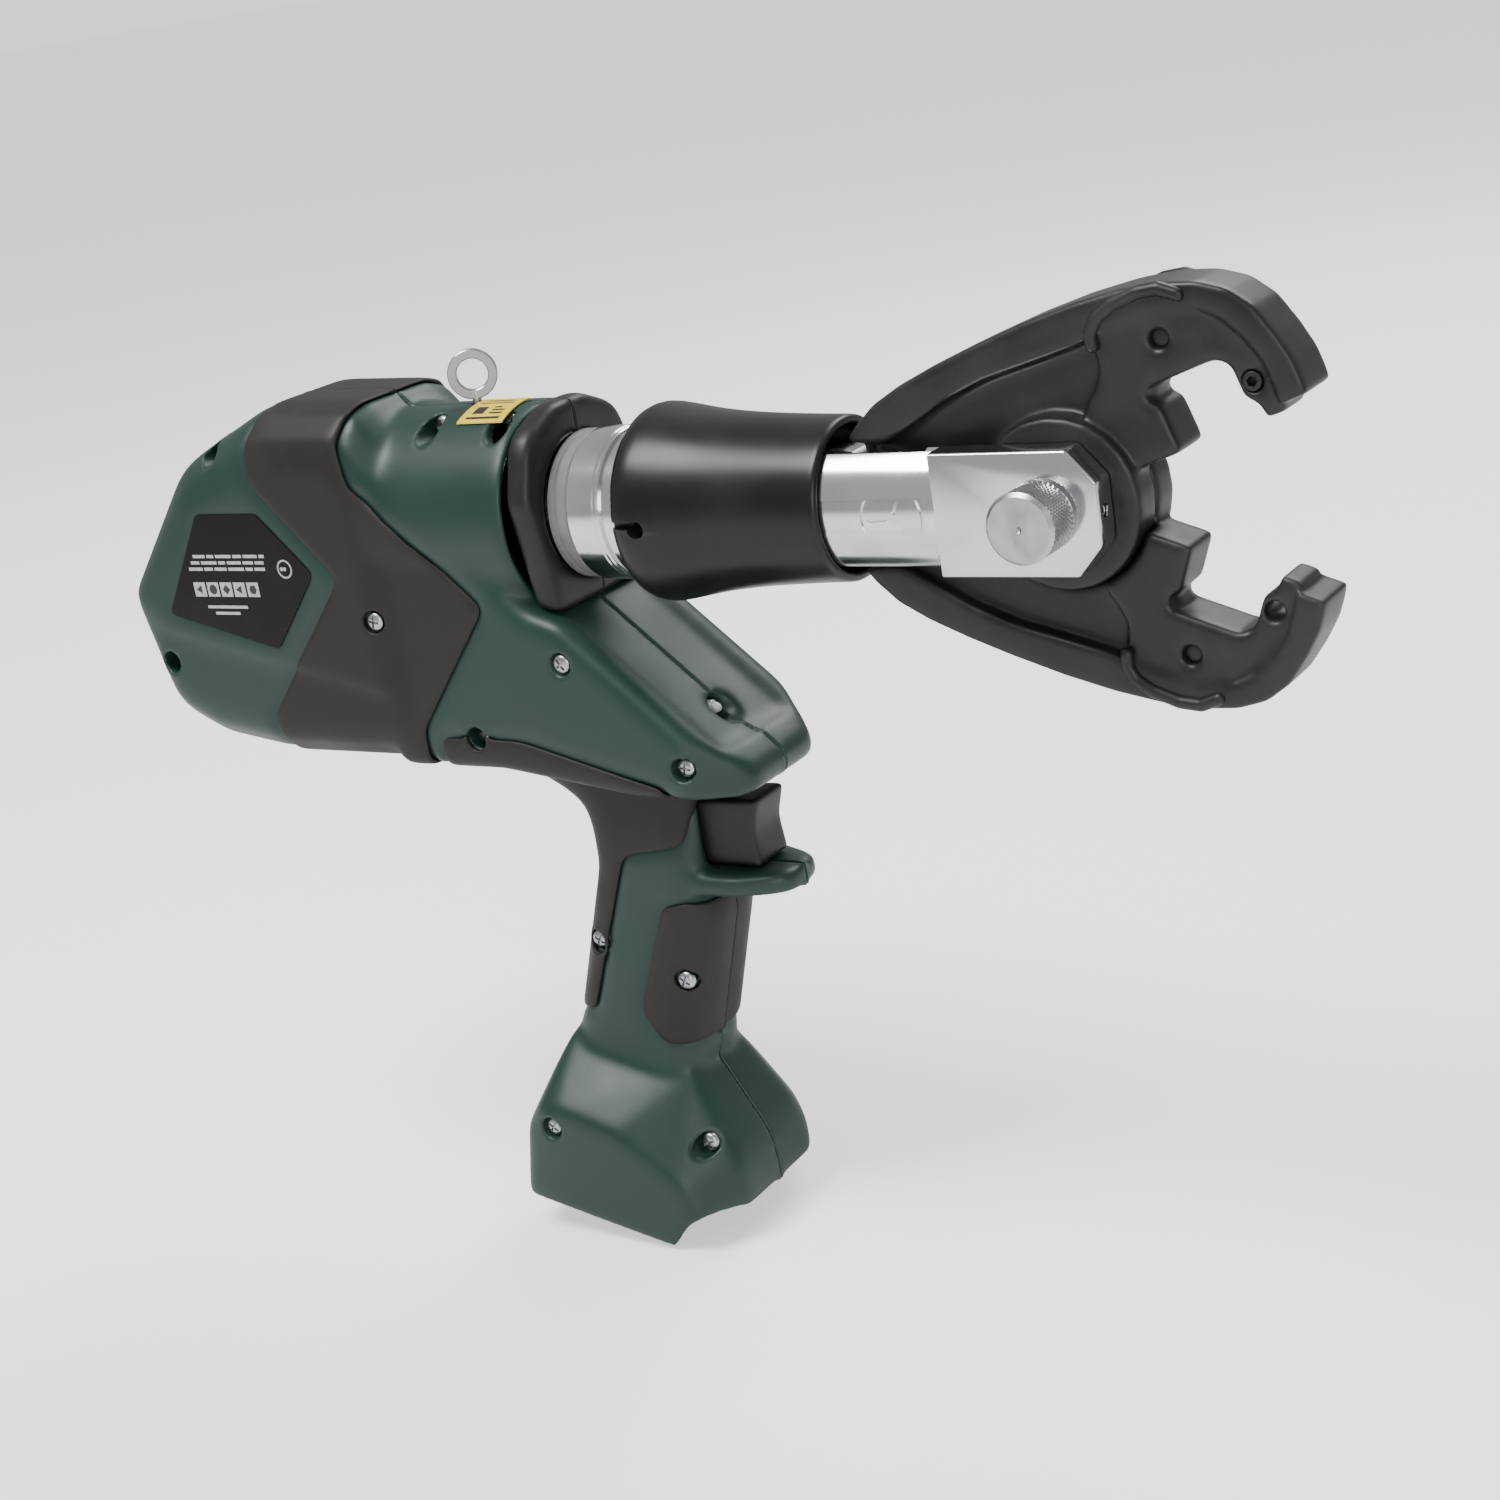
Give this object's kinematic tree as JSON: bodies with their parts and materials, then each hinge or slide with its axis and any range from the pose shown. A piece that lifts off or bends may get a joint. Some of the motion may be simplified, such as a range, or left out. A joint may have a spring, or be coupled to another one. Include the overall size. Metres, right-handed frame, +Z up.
{
  "type": "cordless hydraulic crimping tool",
  "caption": "Pistol-grip hydraulic crimping tool: swivelling clevis head with two scissor jaws driven by a ram, trigger, overmoulded casing and open battery foot.",
  "frame": {"origin": "middle of the lowest face of the tool's bounding box, jaws open", "axes": "+X towards the jaws along the barrel, +Y to the tool's left, +Z up"},
  "size_m": [0.4278, 0.074, 0.3075],
  "materials": {
    "casing": "fine-textured satin, dark green",
    "overmould": "soft-touch matt, charcoal",
    "black_plastic": "satin black",
    "black_metal": "satin black coating",
    "rating_label": "gloss black film with plain bars",
    "warning_label": "gloss yellow film",
    "lamp_lens": "clear lens over a small lamp",
    "zinc": "bright zinc plate",
    "chrome": "polished plate",
    "steel": "ground",
    "seal_rubber": "matt",
    "forged_steel": "black oxide over forged skin",
    "circuit_board": "solder mask",
    "aluminium": "machined"
  },
  "bodies": {
    "tool": {"housing_right": "casing", "housing_left": "casing", "band_right": "overmould", "band_left": "overmould", "backstrap_right": "overmould", "backstrap_left": "overmould", "grip_pad_right": "overmould", "grip_pad_left": "overmould", "nose_cover_right": "black_plastic", "nose_cover_left": "black_plastic", "rating_label": "rating_label", "warning_label": "warning_label", "casing_screw_01": "zinc", "casing_screw_02": "zinc", "casing_screw_03": "zinc", "casing_screw_04": "zinc", "casing_screw_05": "zinc", "casing_screw_06": "zinc", "casing_screw_07": "zinc", "casing_screw_08": "zinc", "casing_screw_09": "zinc", "casing_screw_10": "zinc", "casing_screw_11": "zinc", "casing_screw_12": "zinc", "motor": "steel", "gearbox": "black_plastic", "pump_block": "aluminium", "pump_plunger": "steel", "oil_reservoir": "seal_rubber", "cylinder": "chrome", "cylinder_seal": "seal_rubber", "swivel_retainer": "steel", "work_light": "lamp_lens", "trigger_switch": "black_plastic", "trigger_spring": "steel", "control_board": "circuit_board", "battery_terminals": "black_plastic"},
    "hanging_ring": {"hanging_ring": "steel"},
    "motor_shaft": {"motor_shaft": "steel"},
    "eccentric_shaft": {"eccentric_shaft": "steel"},
    "head": {"fork": "chrome", "sleeve": "black_metal", "jaw_pin": "zinc", "pin_lock_screw": "forged_steel", "return_spring": "steel"},
    "ram": {"ram": "steel", "piston_seal": "seal_rubber", "upper_roller_axle": "steel", "lower_roller_axle": "steel"},
    "upper_roller": {"upper_roller": "steel"},
    "lower_roller": {"lower_roller": "steel"},
    "upper_jaw": {"upper_jaw": "forged_steel", "upper_die_pin": "forged_steel", "tip_plug": "forged_steel"},
    "lower_jaw": {"lower_jaw": "forged_steel", "lower_die_pin": "forged_steel"},
    "trigger": {"trigger": "black_plastic"}
  },
  "joints": [
    {"name": "head_swivel", "type": "hinge", "parent": "tool", "child": "head", "pos_m": [0.14008, 0, 0.24762], "axis": [1, 0, 0], "range_deg": [-175, 175]},
    {"name": "ram_slide", "type": "slide", "parent": "head", "child": "ram", "axis": [1, 0, 0], "range_m": [0, 0.027], "stiffness_N_per_m": 1500},
    {"name": "upper_jaw_pivot", "type": "hinge", "parent": "head", "child": "upper_jaw", "pos_m": [0.14008, 0, 0.24762], "axis": [0, 1, 0], "range_deg": [0, 19.2]},
    {"name": "lower_jaw_pivot", "type": "hinge", "parent": "head", "child": "lower_jaw", "pos_m": [0.14008, 0, 0.24762], "axis": [0, 1, 0], "range_deg": [-19.2, 0]},
    {"name": "upper_roller_spin", "type": "hinge", "parent": "ram", "child": "upper_roller", "pos_m": [0.07107, 0, 0.25592], "axis": [0, 1, 0], "range_deg": [-200, 0]},
    {"name": "lower_roller_spin", "type": "hinge", "parent": "ram", "child": "lower_roller", "pos_m": [0.07107, 0, 0.23931], "axis": [0, 1, 0], "range_deg": [0, 200]},
    {"name": "trigger_pull", "type": "slide", "parent": "tool", "child": "trigger", "axis": [-1, 0, 0], "range_m": [0, 0.006], "stiffness_N_per_m": 400},
    {"name": "hanging_ring_swivel", "type": "hinge", "parent": "tool", "child": "hanging_ring", "pos_m": [-0.06542, 0, 0.29022], "axis": [0, 0, 1], "continuous": true},
    {"name": "motor_spin", "type": "hinge", "parent": "tool", "child": "motor_shaft", "pos_m": [-0.12993, 0, 0.22162], "axis": [1, 0, 0], "continuous": true},
    {"name": "eccentric_spin", "type": "hinge", "parent": "tool", "child": "eccentric_shaft", "pos_m": [-0.11192, 0, 0.22162], "axis": [1, 0, 0], "continuous": true}
  ],
  "couplings": [
    {"joint": "upper_jaw_pivot", "follows": "ram_slide", "rad_per_m": 12.282},
    {"joint": "lower_jaw_pivot", "follows": "ram_slide", "rad_per_m": -12.282},
    {"joint": "upper_roller_spin", "follows": "ram_slide", "rad_per_m": -125},
    {"joint": "lower_roller_spin", "follows": "ram_slide", "rad_per_m": 125},
    {"joint": "eccentric_spin", "follows": "motor_spin", "ratio": 0.25}
  ]
}
